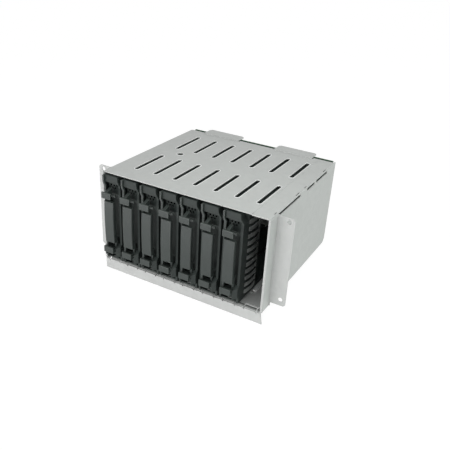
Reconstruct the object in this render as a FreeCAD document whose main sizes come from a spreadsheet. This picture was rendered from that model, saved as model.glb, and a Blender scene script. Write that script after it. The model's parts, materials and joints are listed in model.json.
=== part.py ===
import FreeCAD, Part
import os
import Sketcher

# Driving sizes of the cage, in millimetres (counts are plain numbers).
sizes = {
    "bay_count": 8,
    "carrier_count": 7,
    "bay_pitch": 18.82,
    "case_height": 80,
    "case_depth": 139,
    "sheet_gauge": 0.8,
    "fold_radius": 0.7,
    "bend_radius": 1.6,
    "lip_drop": 10.9,
    "lip_flare": 1.6,
    "roll_start": 1.6,
    "roll_depth": 2.2,
    "roll_drop": 0.35,
    "rear_setback": 2.6,
    "side_flange": 14.4,
    "seam_gap": 0.12,
    "lap_width": 9.0,
    "under_flange_front": 8.0,
    "under_flange": 10.0,
    "rear_corner_cut": 4.0,
    "vent_length": 40.2,
    "vent_width": 3.8,
    "vent_front": 19.2,
    "vent_row_gap": 21.1,
    "locating_radius": 3.0,
    "locating_offset": 46.3,
    "locating_back": 71.0,
    "slit_width": 2.3,
    "slit_drop": 1.3,
    "slit_front_start": 13.5,
    "slit_front_length": 44.0,
    "slit_rear_start": 71.0,
    "slit_rear_length": 46.5,
    "slit_bridge_start": 16.5,
    "slit_bridge_length": 3.5,
    "slit_end_inset": 0.8,
    "slit_end_width": 0.8,
    "slit_end_lead": 4.0,
    "slit_end_overlap": 0.5,
    "slit_end_tail": 8.0,
    "tab_width": 38.0,
    "tab_left_offset": 40.0,
    "tab_right_offset": 35.5,
    "tab_bend_inset": 2.4,
    "tab_reach": 10.6,
    "tab_corner": 2.0,
    "tab_relief": 0.8,
    "ear_setback": 12.8,
    "ear_width": 14.3,
    "ear_bottom": 2.6,
    "ear_fold_gap": 0.8,
    "ear_top_gap": 1.4,
    "ear_clip": 1.6,
    "ear_hole_radius": 1.8,
    "ear_hole_out": 9.8,
    "ear_hole_low": 8.0,
    "ear_hole_inset": 3.2,
    "catch_width": 11.8,
    "catch_back": 3.4,
    "catch_depth": 1.8,
    "relief_width": 1.1,
    "relief_drop": 2.6,
    "guide_width": 3.4,
    "guide_height": 1.6,
    "guide_gap": 1.2,
    "guide_front": 22.5,
    "guide_rear_gap": 12.0,
    "upper_guide_drop": 2.8,
    "upper_guide_inset": 1.2,
    "rivet_radius": 1.3,
    "rivet_dome": 0.4,
    "rivet_shank": 0.8,
    "rivet_fit": 0.05,
    "rivet_back": 20.3,
    "rivet_offset": 0.5,
    "carrier_width": 16.6,
    "carrier_clearance": 0.2,
    "carrier_top_gap": 0.9,
    "runner_clearance": 0.3,
    "runner_drop": 1.3,
    "bezel_front": 18.0,
    "bezel_depth": 30.0,
    "rail_left": 1.2,
    "rail_right": 2.0,
    "recess_depth": 7.5,
    "heel_recess_depth": 10.5,
    "heel_recess_high": 17.5,
    "recess_drop": 18.7,
    "vent_recess": 2.5,
    "top_block_height": 6.0,
    "top_block_right": 5.2,
    "shoulder_cut_depth": 8.0,
    "shoulder_cut_step": 1.2,
    "shoulder_cut_fall": 1.7,
    "web_thickness": 1.5,
    "carrier_arm": 2.0,
    "carrier_rear_gap": 11.0,
    "vent_hole_radius": 0.85,
    "vent_hole_pitch": 2.7,
    "vent_first": 4.1,
    "vent_drop": 4.9,
    "vent_row_rise": 2.2,
    "arm_groove_width": 1.5,
    "arm_groove_depth": 9.0,
    "base_front": 0.9,
    "base_thickness": 1.2,
    "claw_slot_width": 6.0,
    "claw_slot_front": 2.2,
    "claw_slot_back": 6.0,
    "pivot_front": 2.6,
    "pivot_height": 12.2,
    "pin_radius": 1.0,
    "pin_fit": 0.05,
    "cheek_gap": 0.3,
    "cheek_width": 1.2,
    "cheek_front": 4.6,
    "cheek_nose": 13.4,
    "cheek_low": 5.5,
    "cheek_high": 16.8,
    "lever_width": 9.3,
    "lever_low": 19.3,
    "lever_gap": 3.4,
    "lever_face": 5.5,
    "lever_bow": 0.6,
    "lever_thickness": 2.6,
    "lever_bevel": 0.5,
    "lever_web": 1.6,
    "lever_web_back": 0.6,
    "lever_web_rise": 5.0,
    "heel_low": 10.2,
    "heel_high": 15.6,
    "heel_face": 8.0,
    "heel_plate": 1.6,
    "heel_bevel": 0.4,
    "hub_radius": 2.2,
    "claw_width": 5.0,
    "claw_tip": 2.6,
    "claw_thickness": 1.6,
    "claw_taper": 2.0,
    "claw_back": 4.2,
    "latch_drop": 12.0,
    "latch_height": 5.3,
    "latch_width": 9.0,
    "latch_offset": 0.55,
    "latch_plate": 1.6,
    "latch_bevel": 0.4,
    "latch_gap": 0.1,
    "latch_rib_left": 2.8,
    "latch_rib_right": 0.2,
    "latch_rib_rise": 2.1,
    "latch_foot": 2.0,
    "arm_face": 1.8,
    "arm_overhang": 0.3,
    "arm_top_width": 1.5,
    "arm_low_width": 1.9,
    "arm_shift": 1.3,
    "arm_bend_length": 2.5,
    "spring_gauge": 0.3,
    "spring_front": 8.5,
    "spring_depth": 20.0,
    "spine_width": 2.4,
    "finger_width": 3.6,
    "finger_count": 11,
    "finger_low": 4.9,
    "finger_top_margin": 5.7,
    "finger_bulge": 1.5,
    "finger_ramp": 5.0,
    "board_thickness": 1.6,
    "board_margin": 2.5,
    "window_width": 13.0,
    "window_low": 10.0,
    "window_margin": 8.4,
    "socket_width": 5.6,
    "socket_length": 42.0,
    "socket_depth": 8.0,
    "socket_low": 19.0,
    "socket_slot": 1.6,
    "socket_wall": 1.2,
    "board_slot_width": 5.0,
    "board_slot_margin": 16.0,
    "screw_inset": 5.0,
    "screw_radius": 1.5,
    "screw_fit": 0.1,
    "screw_head_radius": 2.8,
    "screw_head_height": 1.8,
    "screw_slot_length": 3.4,
    "screw_slot_width": 0.8,
    "screw_slot_depth": 0.9,
    "plug_depth": 11.0,
    "data_plug_width": 22.0,
    "data_plug_height": 9.0,
    "data_plug_offset": 36.0,
    "data_plug_low": 5.5,
    "power_plug_offset": 12.5,
    "power_plug_width": 16.0,
    "power_plug_height": 9.6,
    "power_pin_pitch": 4.2,
    "power_pin_hole": 3.2,
}

doc = FreeCAD.newDocument("DriveCage")
sheet = doc.addObject("Spreadsheet::Sheet", "Sheet")
for row, (alias, number) in enumerate(sizes.items(), start=1):
    sheet.set(f"A{row}", alias)
    sheet.set(f"B{row}", str(number))
    sheet.setAlias(f"B{row}", alias)
doc.recompute()


class Size:
    """A size that carries its value and the sheet expression it is worked out from."""

    def __init__(self, text, value):
        self.text = text
        self.value = value

    def __add__(self, other):
        other = as_size(other)
        return Size(f"({self.text} + {other.text})", self.value + other.value)

    def __sub__(self, other):
        other = as_size(other)
        return Size(f"({self.text} - {other.text})", self.value - other.value)

    def __mul__(self, other):
        other = as_size(other)
        return Size(f"({self.text} * {other.text})", self.value * other.value)

    def __truediv__(self, other):
        other = as_size(other)
        return Size(f"({self.text} / {other.text})", self.value / other.value)

    def root(self):
        return Size(f"sqrt({self.text})", self.value ** 0.5)

    def __neg__(self):
        return Size(f"(0 - {self.text})", -self.value)


def as_size(number):
    return number if isinstance(number, Size) else Size(f"({number})", float(number))


class Cells:
    """Gives each cell of the sheet as a Size, by its alias."""

    def __getattr__(self, alias):
        return Size(f"Sheet.{alias}", float(sheet.get(alias)))


cell = Cells()
zero = as_size(0)

# Places worked out from the driving sizes. X runs to the right, Y to the back, Z up.
# Before each sub-part is placed, Y = 0 is the front of the case and Z = 0 the floor's top.
gauge = cell.sheet_gauge
height = cell.case_height
depth = cell.case_depth
half = cell.bay_pitch * cell.bay_count / 2
inner = half - gauge
floor_low = -gauge
underside = -(gauge * 2)
lap_level = height - gauge * 2
ceiling = height - gauge
seam = half - cell.side_flange
mount_back = cell.ear_setback + gauge
ear_top = height - cell.ear_top_gap
ear_hole_high = ear_top - cell.ear_hole_inset
mount_level = (cell.ear_hole_low + ear_hole_high) / 2
board_back = depth + cell.board_thickness
cover_back = depth - cell.rear_setback
first_line = -cell.bay_pitch * (cell.bay_count / 2 - 1)
row_pitch = cell.vent_length + cell.vent_row_gap
quarter_bulge = as_size(1) - as_size(0.5).root()

plane_normals = {"XY": 1, "XZ": -1, "YZ": 1}
sub_parts = []


def bind(item, prop, size):
    item.setExpression(prop, as_size(size).text)


def place(item, x=zero):
    """Moves a sub-part from the case's corner to the part's origin between the ears' holes."""
    bind(item, "Placement.Base.x", x)
    bind(item, "Placement.Base.y", -mount_back)
    bind(item, "Placement.Base.z", -mount_level)


def new_body(label, x=zero):
    body = doc.addObject("PartDesign::Body", label)
    body.Label = label
    body.AllowCompound = True
    place(body, x)
    sub_parts.append(body)
    return body


def new_sketch(body, plane, start):
    base = next(item for item in body.Origin.OriginFeatures if item.Role == plane + "_Plane")
    sketch = body.newObject("Sketcher::SketchObject", "Sketch")
    sketch.AttachmentSupport = [(base, "")]
    sketch.MapMode = "FlatFace"
    bind(sketch, "AttachmentOffset.Base.z", as_size(start) * plane_normals[plane])
    return sketch


def fix_point(sketch, curve, end, point):
    """Holds one end (or a circle's centre) at a point given as two sizes."""
    for kind, size in zip(("DistanceX", "DistanceY"), point):
        number = sketch.addConstraint(Sketcher.Constraint(kind, -1, 1, curve, end, size.value))
        bind(sketch, f"Constraints[{number}]", size)


def arc_between(start, end, rise):
    """The arc from start to end whose middle stands off its chord by rise, to the right."""
    chord = end.sub(start)
    across = FreeCAD.Vector(chord.y, -chord.x, 0).normalize()
    middle = start.add(chord.multiply(0.5)).add(across.multiply(rise))
    return Part.Arc(start, middle, end) if rise > 0 else Part.Arc(end, middle, start)


def hold_arc(sketch, curve, corner, target):
    """Sets the centre of an arc that rises from its chord, across the chord's longer way."""
    rise = corner[2]
    across, along = target[0] - corner[0], target[1] - corner[1]
    chord_squared = across * across + along * along
    setback = (chord_squared / 4 - rise * rise) / (rise * 2 * chord_squared.root())
    if abs(along.value) > abs(across.value):
        kind, size = "DistanceX", corner[0] + across / 2 - along * setback
    else:
        kind, size = "DistanceY", corner[1] + along / 2 + across * setback
    number = sketch.addConstraint(Sketcher.Constraint(kind, -1, 1, curve, 3, size.value))
    bind(sketch, f"Constraints[{number}]", size)


def outline(sketch, points):
    """A closed outline. A point with a third value starts an arc that rises by that size."""
    corners = [tuple(as_size(number) for number in point) for point in points]
    flat = [FreeCAD.Vector(corner[0].value, corner[1].value, 0) for corner in corners]
    first = sketch.GeometryCount
    count = len(corners)
    ends = []
    for index, corner in enumerate(corners):
        start, end = flat[index], flat[(index + 1) % count]
        if len(corner) == 2:
            sketch.addGeometry(Part.LineSegment(start, end))
            ends.append((1, 2))
            continue
        sketch.addGeometry(arc_between(start, end, corner[2].value))
        ends.append((1, 2) if corner[2].value > 0 else (2, 1))
    for index, corner in enumerate(corners):
        following = (index + 1) % count
        joint = (first + index, ends[index][1], first + following, ends[following][0])
        sketch.addConstraint(Sketcher.Constraint("Coincident", *joint))
        fix_point(sketch, first + index, ends[index][0], corner)
        if len(corner) == 3:
            hold_arc(sketch, first + index, corner, corners[following])


def circle(sketch, centre, radius):
    centre = tuple(as_size(number) for number in centre)
    radius = as_size(radius)
    middle = FreeCAD.Vector(centre[0].value, centre[1].value, 0)
    curve = sketch.addGeometry(Part.Circle(middle, FreeCAD.Vector(0, 0, 1), radius.value))
    fix_point(sketch, curve, 3, centre)
    number = sketch.addConstraint(Sketcher.Constraint("Radius", curve, radius.value))
    bind(sketch, f"Constraints[{number}]", radius)


def rectangle(left, low, right, high):
    return [(left, low), (right, low), (right, high), (left, high)]


def pad(body, plane, loops, start, end):
    sketch = new_sketch(body, plane, start)
    draw(sketch, loops)
    feature = body.newObject("PartDesign::Pad", "Pad")
    feature.Profile = sketch
    feature.Reversed = plane == "XZ"
    bind(feature, "Length", as_size(end) - start)
    return feature


def pocket(body, plane, loops, start, end):
    sketch = new_sketch(body, plane, start)
    draw(sketch, loops)
    feature = body.newObject("PartDesign::Pocket", "Pocket")
    feature.Profile = sketch
    feature.Reversed = plane != "XZ"
    bind(feature, "Length", as_size(end) - start)
    return feature


def draw(sketch, loops):
    """Each loop is an outline's list of points, or a circle's centre and radius."""
    for loop in loops:
        if isinstance(loop, tuple):
            circle(sketch, loop[0], loop[1])
        else:
            outline(sketch, loop)


def repeat(body, features, axis, pitch, count):
    pattern = body.newObject("PartDesign::LinearPattern", "Pattern")
    pattern.Originals = features
    line = next(item for item in body.Origin.OriginFeatures if item.Role == axis + "_Axis")
    pattern.Direction = (line, [""])
    bind(pattern, "Length", pitch * (as_size(count) - 1))
    bind(pattern, "Occurrences", count)
    body.Tip = pattern
    return pattern


def soften(body, kind, size, wanted):
    """Rounds (Fillet) or bevels (Chamfer) the edges that wanted picks by their bounds."""
    body.recompute(True)
    base = body.Tip
    edges = [f"Edge{number}" for number, edge in enumerate(base.Shape.Edges, start=1)
             if wanted(edge.BoundBox)]
    if not edges:
        raise ValueError(f"{body.Label}: no edge to soften")
    feature = body.newObject("PartDesign::" + kind, kind)
    feature.Base = (base, edges)
    bind(feature, "Radius" if kind == "Fillet" else "Size", size)
    return feature


def near(value, size):
    return abs(value - size.value) < 0.001


def bay_centre(index):
    return cell.bay_pitch * (index + 0.5) - half


def slot_outline(centre_x, front, back, width):
    """A long hole with round ends, along Y."""
    side = width / 2
    return [
        (centre_x - side, back - side),
        (centre_x - side, front + side, side),
        (centre_x + side, front + side),
        (centre_x + side, back - side, side),
    ]


def make_top_cover():
    """Flat top with two rows of vents, a rolled front, a joggled edge and two raised tabs."""
    body = new_body("top_cover")
    section = [
        (-half, ceiling),
        (seam - gauge, ceiling),
        (seam - gauge, lap_level),
        (seam + cell.lap_width, lap_level),
        (seam + cell.lap_width, ceiling),
        (seam, ceiling),
        (seam, height),
        (-half, height),
    ]
    roll_back = cell.roll_start + cell.roll_depth
    pad(body, "XZ", [section], roll_back, cover_back)
    roll = [
        (roll_back, height),
        (roll_back, ceiling),
        (cell.roll_start, ceiling - cell.roll_drop),
        (cell.roll_start, height - cell.roll_drop),
    ]
    pad(body, "YZ", [roll], -half, seam - gauge)
    vents = []
    for row in range(2):
        front = cell.vent_front + row_pitch * row
        loop = slot_outline(first_line, front, front + cell.vent_length, cell.vent_width)
        vents.append(pocket(body, "XY", [loop], ceiling, height))
    repeat(body, vents, "X", cell.bay_pitch, cell.bay_count - 1)
    locating = ((-cell.locating_offset, cell.locating_back), cell.locating_radius)
    pocket(body, "XY", [locating], ceiling, height)
    bend = cover_back - cell.tab_bend_inset
    for centre in (-cell.tab_left_offset, cell.tab_right_offset):
        left = centre - cell.tab_width / 2
        right = centre + cell.tab_width / 2
        back = cover_back + cell.tab_reach
        tab = [
            (left, bend - gauge),
            (right, bend - gauge),
            (right, back - cell.tab_corner),
            (right - cell.tab_corner, back),
            (left + cell.tab_corner, back),
            (left, back - cell.tab_corner),
        ]
        pad(body, "XY", [tab], height, height + gauge)
        relief = rectangle(left - cell.tab_relief, bend, right + cell.tab_relief, cover_back)
        pocket(body, "XY", [relief], ceiling, height)


def make_side_panel(label, side):
    """Side wall folded in along the top and the underside. side is 1 on the right, -1 left."""
    body = new_body(label)
    top = height if side > 0 else ceiling
    reach = seam + cell.seam_gap if side > 0 else inner - cell.lap_width
    section = [
        (half * side, underside),
        (half * side, top),
        (reach * side, top),
        (reach * side, top - gauge),
        (inner * side, top - gauge),
        (inner * side, floor_low),
        ((inner - cell.under_flange) * side, floor_low),
        ((inner - cell.under_flange) * side, underside),
    ]
    pad(body, "XZ", [section], 0, depth)
    front_flange = rectangle((inner - cell.under_flange) * side, 0, inner * side,
                             cell.under_flange_front)
    pocket(body, "XY", [front_flange], underside, floor_low)
    corner = [
        (depth - cell.rear_corner_cut, underside),
        (depth, underside),
        (depth, underside + cell.rear_corner_cut),
    ]
    low_x = (inner - cell.under_flange) if side > 0 else -half
    high_x = half if side > 0 else (cell.under_flange - inner)
    pocket(body, "YZ", [corner], low_x, high_x)
    if side > 0:
        cut_slits(body)
        rear = rectangle(reach, cover_back, inner, depth)
        pocket(body, "XY", [rear], top - gauge, top)
    else:
        front = rectangle(-half, 0, -reach, cell.roll_start + cell.roll_depth)
        pocket(body, "XY", [front], top - gauge, top)
    outer = half * side
    soften(body, "Fillet", cell.fold_radius,
           lambda box: box.YLength > box.XLength + box.ZLength
           and near(box.XMax, outer) and near(box.XMin, outer)
           and (near(box.ZMax, top) or near(box.ZMin, underside)))


def cut_slits(body):
    """Long slits under the top fold, with short cuts through the fold at both ends of each."""
    high = height - cell.slit_drop
    low = high - cell.slit_width
    bridge = cell.slit_rear_start + cell.slit_bridge_start
    front_end = cell.slit_front_start + cell.slit_front_length
    rear_end = cell.slit_rear_start + cell.slit_rear_length
    spans = (
        (cell.slit_front_start, front_end),
        (cell.slit_rear_start, bridge),
        (bridge + cell.slit_bridge_length, rear_end),
    )
    slits = [rectangle(start, low, end, high) for start, end in spans]
    pocket(body, "YZ", slits, inner, half)
    right = half - cell.slit_end_inset
    left = right - cell.slit_end_width
    cuts = []
    for start, end in ((cell.slit_front_start, front_end), (cell.slit_rear_start, rear_end)):
        lead = start - cell.slit_end_lead
        cuts.append(rectangle(left, lead, right, start + cell.slit_end_overlap))
        cuts.append(rectangle(left, end - cell.slit_end_tail, right, end - cell.slit_end_width))
    pocket(body, "XY", cuts, ceiling, height)


def make_ear(label, side):
    """Mounting ear: an angle whose leg lies along the side wall and whose flange has holes."""
    body = new_body(label)
    wall = half * side
    leg = (half + gauge) * side
    tip = (half + cell.ear_width) * side
    front = cell.ear_setback
    angle = [
        (wall, 0),
        (leg, 0),
        (leg, front),
        (tip, front),
        (tip, front + gauge),
        (wall, front + gauge),
    ]
    pad(body, "XY", [angle], floor_low, ceiling)
    crook = (half + gauge + cell.ear_fold_gap) * side
    above = [(crook, ear_top), (tip, ear_top), (tip, ceiling), (crook, ceiling)]
    below = [(crook, floor_low), (tip, floor_low), (tip, cell.ear_bottom),
             (crook, cell.ear_bottom)]
    clipped = (half + cell.ear_width - cell.ear_clip) * side
    top_clip = [(clipped, ear_top), (tip, ear_top - cell.ear_clip), (tip, ear_top)]
    low_clip = [(clipped, cell.ear_bottom), (tip, cell.ear_bottom),
                (tip, cell.ear_bottom + cell.ear_clip)]
    for cut in (above, below, top_clip, low_clip):
        pocket(body, "XZ", [cut], front, front + gauge)
    hole_x = (half + cell.ear_hole_out) * side
    holes = [((hole_x, level), cell.ear_hole_radius)
             for level in (cell.ear_hole_low, ear_hole_high)]
    pocket(body, "XZ", holes, front, front + gauge)


def make_floor():
    """Floor bent down at the front into a lip; each bay has a catch slot and two reliefs."""
    body = new_body("floor_panel")
    bend = cell.bend_radius
    inner_bend = bend - gauge
    section = [
        (depth, floor_low),
        (depth, 0),
        (bend, 0, -(bend * quarter_bulge)),
        (0, -bend),
        (gauge, -bend, inner_bend * quarter_bulge),
        (bend, floor_low),
    ]
    pad(body, "YZ", [section], -inner, inner)
    lip = [
        (-half, -cell.lip_drop),
        (half + cell.lip_flare, -cell.lip_drop),
        (half, -bend),
        (-half, -bend),
    ]
    pad(body, "XZ", [lip], 0, gauge)
    left = bay_centre(0) - cell.catch_width / 2
    right = bay_centre(0) + cell.catch_width / 2
    front = cell.catch_back
    slot = rectangle(left, front, right, front + cell.catch_depth)
    reliefs = [rectangle(left, 0, left + cell.relief_width, front),
               rectangle(right - cell.relief_width, 0, right, front)]
    cuts = [pocket(body, "XY", [slot], floor_low, 0)]
    cuts.append(pocket(body, "XY", reliefs, -cell.relief_drop, 0))
    repeat(body, cuts, "X", cell.bay_pitch, cell.bay_count)
    rivet_hole = ((rivet_x, cell.rivet_back), cell.rivet_shank + cell.rivet_fit)
    holes = pocket(body, "XY", [rivet_hole], floor_low, 0)
    repeat(body, [holes], "X", cell.bay_pitch, cell.bay_count - 1)


def guide_outline(left, right, front, back):
    """A guide seen from above, with a rounded nose at the front."""
    nose = (right - left) / 2
    return [
        (left, back),
        (left, front + nose, nose),
        (right, front + nose),
        (right, back),
    ]


def make_guides(label, low, high, front, back):
    """Rails beside the bay lines, and a narrower strip along the left wall."""
    body = new_body(label)
    left = first_line + guide_left
    right = left + cell.guide_width
    rail = pad(body, "XY", [guide_outline(left, right, front, back)], low, high)
    repeat(body, [rail], "X", cell.bay_pitch, cell.bay_count - 1)
    strip_right = guide_left + cell.guide_width - half
    strip = rectangle(-inner, front, strip_right, back)
    pad(body, "XY", [strip], low, min_level(high))


def min_level(high):
    """The wall strips under the top stay below the folded flange of the wall."""
    return lap_level if high is ceiling else high


def make_rivets():
    """One low domed rivet in front of each floor guide."""
    body = new_body("guide_rivets")
    shank = pad(body, "XY", [((rivet_x, cell.rivet_back), cell.rivet_shank)], floor_low, 0)
    dome = pad(body, "XY", [((rivet_x, cell.rivet_back), cell.rivet_radius)], 0, cell.rivet_dome)
    repeat(body, [shank, dome], "X", cell.bay_pitch, cell.bay_count - 1)


def make_rear_panel():
    """Rear frame: one window at each bay, and a return flange along each wall."""
    body = new_body("rear_panel")
    plate = rectangle(-inner, 0, inner, lap_level)
    pad(body, "XZ", [plate], depth - gauge, depth)
    window_high = lap_level - cell.window_margin
    window = rectangle(bay_centre(0) - cell.window_width / 2, cell.window_low,
                       bay_centre(0) + cell.window_width / 2, window_high)
    cut = pocket(body, "XZ", [window], depth - gauge, depth)
    repeat(body, [cut], "X", cell.bay_pitch, cell.bay_count)
    flange_front = depth - cell.carrier_rear_gap + gauge
    for left, right in ((-inner, -inner + gauge), (inner - gauge, inner)):
        flange = rectangle(left, cell.window_low, right, window_high)
        pad(body, "XZ", [flange], flange_front, depth - gauge)
    pocket(body, "XZ", screw_holes(cell.screw_radius + cell.screw_fit), depth - gauge, depth)


def screw_places():
    """Six screws: at each end and the middle, near the top and the bottom of the board."""
    across = half - cell.board_margin - cell.screw_inset
    low = cell.screw_inset
    high = lap_level - cell.screw_inset
    return [(across * step, level) for level in (low, high) for step in (-1, 0, 1)]


def screw_holes(radius):
    return [(spot, radius) for spot in screw_places()]


def make_backplane():
    """Circuit board on the back of the rear frame, slotted between the bays for air."""
    body = new_body("backplane")
    edge = half - cell.board_margin
    board = rectangle(-edge, 0, edge, height)
    pad(body, "XZ", [board], depth, board_back)
    air = rectangle(first_line - cell.board_slot_width / 2, cell.board_slot_margin,
                    first_line + cell.board_slot_width / 2, height - cell.board_slot_margin)
    cut = pocket(body, "XZ", [air], depth, board_back)
    repeat(body, [cut], "X", cell.bay_pitch, cell.bay_count - 1)
    pocket(body, "XZ", screw_holes(cell.screw_radius + cell.screw_fit), depth, board_back)


def make_screws():
    body = new_body("backplane_screws")
    pad(body, "XZ", screw_holes(cell.screw_radius), depth - gauge * 2, board_back)
    head_back = board_back + cell.screw_head_height
    pad(body, "XZ", screw_holes(cell.screw_head_radius), board_back, head_back)
    arm = cell.screw_slot_length / 2
    thin = cell.screw_slot_width / 2
    slots = [rectangle(x - arm, z - thin, x + arm, z + thin) for x, z in screw_places()]
    pocket(body, "XZ", slots, head_back - cell.screw_slot_depth, head_back)


def make_drive_sockets():
    """A drive socket at each bay, standing forward from the board, with its blade slot."""
    body = new_body("drive_sockets")
    centre = bay_centre(0)
    half_wide = cell.socket_width / 2
    low = cell.socket_low
    high = cell.socket_low + cell.socket_length
    shell = rectangle(centre - half_wide, low, centre + half_wide, high)
    front = depth - cell.socket_depth
    block = pad(body, "XZ", [shell], front, depth)
    slot = rectangle(centre - cell.socket_slot / 2, low + cell.socket_wall,
                     centre + cell.socket_slot / 2, high - cell.socket_wall)
    cut = pocket(body, "XZ", [slot], front, depth - cell.socket_wall)
    repeat(body, [block, cut], "X", cell.bay_pitch, cell.bay_count)


def make_data_plugs():
    """Two data connectors on the back of the board, each with an open mouth."""
    body = new_body("data_connectors")
    wall = cell.socket_wall
    low = cell.data_plug_low
    for side in (-1, 1):
        left = cell.data_plug_offset * side - cell.data_plug_width / 2
        right = left + cell.data_plug_width
        shell = rectangle(left, low, right, low + cell.data_plug_height)
        pad(body, "XZ", [shell], board_back, board_back + cell.plug_depth)
        mouth = rectangle(left + wall, low + wall, right - wall, low + cell.data_plug_height - wall)
        pocket(body, "XZ", [mouth], board_back + wall, board_back + cell.plug_depth)


def make_power_plug():
    """Power connector on the back of the board, with two rows of three pin holes."""
    body = new_body("power_connector")
    low = cell.data_plug_low
    middle = low + cell.power_plug_height / 2
    centre = cell.power_plug_offset
    shell = rectangle(centre - cell.power_plug_width / 2, low,
                      centre + cell.power_plug_width / 2, low + cell.power_plug_height)
    pad(body, "XZ", [shell], board_back, board_back + cell.plug_depth)
    side = cell.power_pin_hole / 2
    holes = []
    for row in (-0.5, 0.5):
        for column in (-1, 0, 1):
            x = centre + cell.power_pin_pitch * column
            z = middle + cell.power_pin_pitch * row
            holes.append(rectangle(x - side, z - side, x + side, z + side))
    pocket(body, "XZ", holes, board_back + cell.socket_wall, board_back + cell.plug_depth)


# Levels and edges shared by a carrier's own pieces, measured from the carrier's centre line.
body_edge = cell.carrier_width / 2
guide_left = body_edge - cell.bay_pitch / 2 + cell.guide_gap
shoulder_low = cell.guide_height + cell.carrier_clearance
runner_low = shoulder_low - cell.runner_drop - cell.carrier_clearance
upper_guide_low = ceiling - cell.upper_guide_drop
shoulder_high = upper_guide_low - cell.carrier_clearance
carrier_top = lap_level - cell.carrier_top_gap
runner_left = guide_left + cell.guide_width + cell.runner_clearance - cell.bay_pitch / 2
recess_left = -body_edge + cell.rail_left
recess_right = body_edge - cell.rail_right
recess_top = carrier_top - cell.recess_drop
block_low = carrier_top - cell.top_block_height
drive_low = shoulder_low + cell.carrier_arm
drive_high = shoulder_high - cell.carrier_arm
carrier_back = depth - cell.carrier_rear_gap
lever_edge = cell.lever_width / 2
latch_high = carrier_top - cell.latch_drop
latch_low = latch_high - cell.latch_height
lever_high = latch_low - cell.lever_gap
cheek_inner = lever_edge + cell.cheek_gap
cheek_outer = cheek_inner + cell.cheek_width
rivet_x = first_line + cell.rivet_offset


def make_carrier(index):
    """Drive carrier: bezel box, recessed front with vents, hinge cheeks and two side arms."""
    body = new_body(f"carrier_{index + 1}", bay_centre(index))
    front = rectangle(-body_edge, runner_low, body_edge, carrier_top)
    pad(body, "XZ", [front], 0, cell.bezel_front)
    low_side = [
        (runner_left, runner_low),
        (body_edge, runner_low),
    ]
    high_side = [
        (body_edge, carrier_top),
        (runner_left, carrier_top),
        (runner_left, shoulder_high),
        (-body_edge, shoulder_high),
    ]
    foot = [(-body_edge, shoulder_low), (runner_left, shoulder_low)]
    pad(body, "XZ", [low_side + high_side + foot], cell.bezel_front, cell.bezel_depth)
    low_arm = low_side + [(body_edge, drive_low), (-body_edge, drive_low)] + foot
    high_arm = high_side + [(-body_edge, drive_high), (body_edge, drive_high)]
    pad(body, "XZ", [low_arm, high_arm], cell.bezel_depth, carrier_back)
    cut_bezel(body)
    cut_openings(body)
    add_cheeks(body)


def cut_bezel(body):
    """The recess behind the lever, its deeper foot, the vent panel and the shoulder cut."""
    base_top = runner_low + cell.base_thickness
    foot = rectangle(recess_left, base_top, recess_right, cell.heel_recess_high)
    pocket(body, "XZ", [foot], 0, cell.heel_recess_depth)
    threshold = rectangle(recess_left, runner_low, recess_right, base_top)
    pocket(body, "XZ", [threshold], 0, cell.base_front)
    recess = rectangle(recess_left, cell.heel_recess_high, recess_right, recess_top)
    pocket(body, "XZ", [recess], 0, cell.recess_depth)
    upper = rectangle(recess_left, recess_top, recess_right, block_low)
    pocket(body, "XZ", [upper], 0, cell.vent_recess)
    groove = rectangle(recess_left, recess_top, recess_left + cell.arm_groove_width, block_low)
    pocket(body, "XZ", [groove], cell.vent_recess, cell.arm_groove_depth)
    shoulder = [
        (cell.top_block_right, carrier_top),
        (cell.top_block_right + cell.shoulder_cut_step / 2, block_low + cell.shoulder_cut_fall),
        (body_edge - cell.shoulder_cut_step, block_low),
        (body_edge, block_low - cell.shoulder_cut_fall),
        (body_edge, carrier_top),
    ]
    pocket(body, "XZ", [shoulder], 0, cell.shoulder_cut_depth)
    slot = rectangle(-cell.claw_slot_width / 2, cell.claw_slot_front,
                     cell.claw_slot_width / 2, cell.claw_slot_back)
    pocket(body, "XY", [slot], runner_low, base_top)


def cut_openings(body):
    """The cavity for the drive's front, the air duct above it and the vents."""
    web = cell.web_thickness
    hollow_front = cell.heel_recess_depth + web
    cavity_edge = body_edge - cell.rail_left
    cavity = rectangle(-cavity_edge, drive_low, cavity_edge, drive_high)
    pocket(body, "XZ", [cavity], hollow_front, cell.bezel_depth)
    duct_left = recess_left + cell.arm_groove_width + web
    middle = rectangle(duct_left, cell.heel_recess_high + web, recess_right, recess_top + web)
    pocket(body, "XZ", [middle], cell.recess_depth + web, hollow_front)
    duct_right = cell.top_block_right - web
    duct = rectangle(duct_left, recess_top + web, duct_right, drive_high)
    pocket(body, "XZ", [duct], cell.vent_recess + web, hollow_front)
    vents = []
    for row in range(2):
        for column in range(3):
            x = cell.vent_hole_pitch * (column + 0.5 * row) - cell.vent_first
            z = block_low - cell.vent_drop + cell.vent_row_rise * row
            vents.append(((x, z), cell.vent_hole_radius))
    pocket(body, "XZ", vents, cell.vent_recess, cell.vent_recess + web)


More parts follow.
